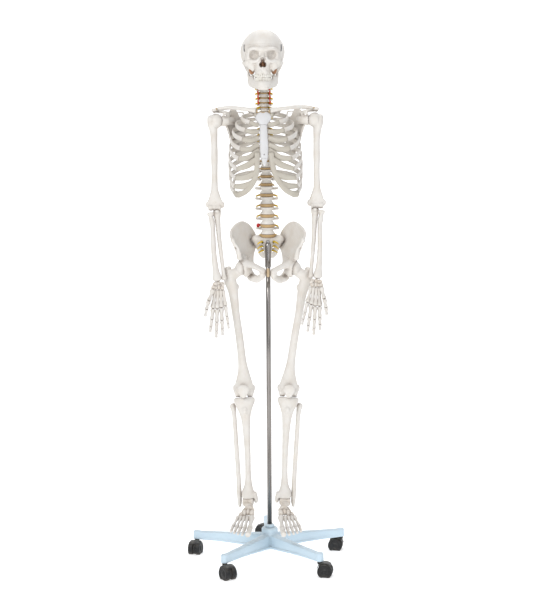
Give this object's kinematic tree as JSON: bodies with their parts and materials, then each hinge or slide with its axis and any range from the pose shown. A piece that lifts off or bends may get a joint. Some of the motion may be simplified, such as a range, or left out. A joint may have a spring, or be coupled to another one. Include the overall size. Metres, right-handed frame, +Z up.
{
  "type": "skeleton teaching model on a wheeled stand",
  "caption": "Life-size human skeleton model hung by its pelvis on a chromed pole in a castored base, with jointed limbs, head, jaw and lift-off skull cap.",
  "frame": {"origin": "on the floor, at the middle of the footprint of the castored base", "axes": "+Z up, the skeleton faces -Y, +X to the skeleton's left"},
  "size_m": [0.5495, 0.5757, 1.7998],
  "materials": {
    "bone_plastic": "warm off-white moulded plastic, satin",
    "cartilage": "tan moulded plastic, satin",
    "prolapse": "red gloss-painted plastic",
    "chromed_steel": "polished chrome plate",
    "base_paint": "pale blue powder coat, satin",
    "castor_plastic": "black moulded nylon, satin",
    "castor_tread": "black moulded nylon wheels, satin"
  },
  "bodies": {
    "base": {"base_star": "base_paint", "pole": "chromed_steel"},
    "castor_1": {"castor_hood_1": "castor_plastic"},
    "wheels_1": {"castor_wheels_1": "castor_tread"},
    "castor_2": {"castor_hood_2": "castor_plastic"},
    "wheels_2": {"castor_wheels_2": "castor_tread"},
    "castor_3": {"castor_hood_3": "castor_plastic"},
    "wheels_3": {"castor_wheels_3": "castor_tread"},
    "castor_4": {"castor_hood_4": "castor_plastic"},
    "wheels_4": {"castor_wheels_4": "castor_tread"},
    "castor_5": {"castor_hood_5": "castor_plastic"},
    "wheels_5": {"castor_wheels_5": "castor_tread"},
    "trunk": {"pelvis_sleeve": "chromed_steel", "sacrum": "bone_plastic", "hip_bone_right": "bone_plastic", "hip_bone_left": "bone_plastic", "pubic_symphysis": "cartilage", "lumbar_spine": "bone_plastic", "thoracic_spine": "bone_plastic", "cervical_spine": "bone_plastic", "prolapsed_disc": "prolapse", "sternum": "bone_plastic", "rib_cage_right": "bone_plastic", "rib_cage_left": "bone_plastic", "floating_rib_11_right": "bone_plastic", "floating_rib_12_right": "bone_plastic", "floating_rib_11_left": "bone_plastic", "floating_rib_12_left": "bone_plastic", "scapula_right": "bone_plastic", "scapula_left": "bone_plastic", "clavicle_right": "bone_plastic", "clavicle_left": "bone_plastic"},
    "atlas": {"atlas_vertebra": "bone_plastic"},
    "head": {"skull": "bone_plastic"},
    "cap": {"skull_cap": "bone_plastic"},
    "jaw": {"mandible": "bone_plastic"},
    "shoulder_right": {"shoulder_pin_right": "chromed_steel"},
    "upper_arm_right": {"humerus_right": "bone_plastic"},
    "forearm_right": {"ulna_right": "bone_plastic", "radius_right": "bone_plastic"},
    "hand_right": {"hand_right": "bone_plastic"},
    "hip_right": {"hip_pin_right": "chromed_steel"},
    "thigh_right": {"femur_right": "bone_plastic", "patella_right": "bone_plastic"},
    "shin_right": {"tibia_right": "bone_plastic", "fibula_right": "bone_plastic"},
    "foot_right": {"foot_right": "bone_plastic"},
    "shoulder_left": {"shoulder_pin_left": "chromed_steel"},
    "upper_arm_left": {"humerus_left": "bone_plastic"},
    "forearm_left": {"ulna_left": "bone_plastic", "radius_left": "bone_plastic"},
    "hand_left": {"hand_left": "bone_plastic"},
    "hip_left": {"hip_pin_left": "chromed_steel"},
    "thigh_left": {"femur_left": "bone_plastic", "patella_left": "bone_plastic"},
    "shin_left": {"tibia_left": "bone_plastic", "fibula_left": "bone_plastic"},
    "foot_left": {"foot_left": "bone_plastic"}
  },
  "joints": [
    {"name": "castor_1_swivel", "type": "hinge", "parent": "base", "child": "castor_1", "pos_m": [-0.00125, 0.24284, 0], "axis": [0, 0, 1], "continuous": true},
    {"name": "castor_1_roll", "type": "hinge", "parent": "castor_1", "child": "wheels_1", "pos_m": [-0.01504, 0.25441, 0.025], "axis": [-0.6428, -0.766, 0], "continuous": true},
    {"name": "castor_2_swivel", "type": "hinge", "parent": "base", "child": "castor_2", "pos_m": [-0.24673, 0.05104, 0], "axis": [0, 0, 1], "continuous": true},
    {"name": "castor_2_roll", "type": "hinge", "parent": "castor_2", "child": "wheels_2", "pos_m": [-0.25139, 0.03366, 0.025], "axis": [0.9659, -0.2588, 0], "continuous": true},
    {"name": "castor_3_swivel", "type": "hinge", "parent": "base", "child": "castor_3", "pos_m": [-0.14019, -0.24169, 0], "axis": [0, 0, 1], "continuous": true},
    {"name": "castor_3_roll", "type": "hinge", "parent": "castor_3", "child": "wheels_3", "pos_m": [-0.12986, -0.25644, 0.025], "axis": [0.8192, 0.5736, 0], "continuous": true},
    {"name": "castor_4_swivel", "type": "hinge", "parent": "base", "child": "castor_4", "pos_m": [0.17115, -0.23082, 0], "axis": [0, 0, 1], "continuous": true},
    {"name": "castor_4_roll", "type": "hinge", "parent": "castor_4", "child": "wheels_4", "pos_m": [0.18888, -0.23395, 0.025], "axis": [0.1736, 0.9848, 0], "continuous": true},
    {"name": "castor_5_swivel", "type": "hinge", "parent": "base", "child": "castor_5", "pos_m": [0.25702, 0.06864, 0], "axis": [0, 0, 1], "continuous": true},
    {"name": "castor_5_roll", "type": "hinge", "parent": "castor_5", "child": "wheels_5", "pos_m": [0.23929, 0.07176, 0.025], "axis": [-0.1736, -0.9848, 0], "continuous": true},
    {"name": "skeleton_turn", "type": "hinge", "parent": "base", "child": "trunk", "pos_m": [0.008, -0.022, 1.05], "axis": [0, 0, 1], "continuous": true},
    {"name": "head_turn", "type": "hinge", "parent": "trunk", "child": "atlas", "pos_m": [-0.00315, -0.002, 1.643], "axis": [0, 0, 1], "range_deg": [-35, 35]},
    {"name": "head_nod", "type": "hinge", "parent": "atlas", "child": "head", "pos_m": [-0.00359, -0.002, 1.664], "axis": [1, 0, 0], "range_deg": [-6, 12]},
    {"name": "jaw_open", "type": "hinge", "parent": "head", "child": "jaw", "pos_m": [-0.00395, -0.016, 1.681], "axis": [1, 0, 0], "range_deg": [0, 20]},
    {"name": "skull_cap_lift", "type": "slide", "parent": "head", "child": "cap", "axis": [0, 0, 1], "range_m": [0, 0.12]},
    {"name": "shoulder_right_forward", "type": "hinge", "parent": "trunk", "child": "shoulder_right", "pos_m": [-0.163, -0.017, 1.5], "axis": [-1, 0, 0], "range_deg": [0, 90]},
    {"name": "shoulder_right_outward", "type": "hinge", "parent": "shoulder_right", "child": "upper_arm_right", "pos_m": [-0.163, -0.017, 1.5], "axis": [0, 1, 0], "range_deg": [0, 30]},
    {"name": "elbow_right", "type": "hinge", "parent": "upper_arm_right", "child": "forearm_right", "pos_m": [-0.172, -0.02, 1.211], "axis": [-1, 0, 0], "range_deg": [0, 80]},
    {"name": "wrist_right", "type": "hinge", "parent": "forearm_right", "child": "hand_right", "pos_m": [-0.155, -0.094, 0.966], "axis": [-1, 0, 0], "range_deg": [-10, 40]},
    {"name": "hip_right_forward", "type": "hinge", "parent": "trunk", "child": "hip_right", "pos_m": [-0.078, -0.06, 1.01], "axis": [-1, 0, 0], "range_deg": [-20, 10]},
    {"name": "hip_right_outward", "type": "hinge", "parent": "hip_right", "child": "thigh_right", "pos_m": [-0.078, -0.06, 1.01], "axis": [0, 1, 0], "range_deg": [0, 15]},
    {"name": "knee_right", "type": "hinge", "parent": "thigh_right", "child": "shin_right", "pos_m": [-0.076, -0.052, 0.592], "axis": [1, 0, 0], "range_deg": [0, 85]},
    {"name": "ankle_right", "type": "hinge", "parent": "shin_right", "child": "foot_right", "pos_m": [-0.064, -0.058, 0.216], "axis": [-1, 0, 0], "range_deg": [-10, 15]},
    {"name": "shoulder_left_forward", "type": "hinge", "parent": "trunk", "child": "shoulder_left", "pos_m": [0.167, -0.017, 1.502], "axis": [-1, 0, 0], "range_deg": [0, 90]},
    {"name": "shoulder_left_outward", "type": "hinge", "parent": "shoulder_left", "child": "upper_arm_left", "pos_m": [0.167, -0.017, 1.502], "axis": [0, -1, 0], "range_deg": [0, 30]},
    {"name": "elbow_left", "type": "hinge", "parent": "upper_arm_left", "child": "forearm_left", "pos_m": [0.176, -0.02, 1.216], "axis": [-1, 0, 0], "range_deg": [0, 80]},
    {"name": "wrist_left", "type": "hinge", "parent": "forearm_left", "child": "hand_left", "pos_m": [0.167, -0.094, 0.973], "axis": [-1, 0, 0], "range_deg": [-10, 40]},
    {"name": "hip_left_forward", "type": "hinge", "parent": "trunk", "child": "hip_left", "pos_m": [0.094, -0.06, 1.008], "axis": [-1, 0, 0], "range_deg": [-20, 10]},
    {"name": "hip_left_outward", "type": "hinge", "parent": "hip_left", "child": "thigh_left", "pos_m": [0.094, -0.06, 1.008], "axis": [0, -1, 0], "range_deg": [0, 15]},
    {"name": "knee_left", "type": "hinge", "parent": "thigh_left", "child": "shin_left", "pos_m": [0.074, -0.052, 0.592], "axis": [1, 0, 0], "range_deg": [0, 85]},
    {"name": "ankle_left", "type": "hinge", "parent": "shin_left", "child": "foot_left", "pos_m": [0.059, -0.058, 0.216], "axis": [-1, 0, 0], "range_deg": [-10, 15]}
  ]
}
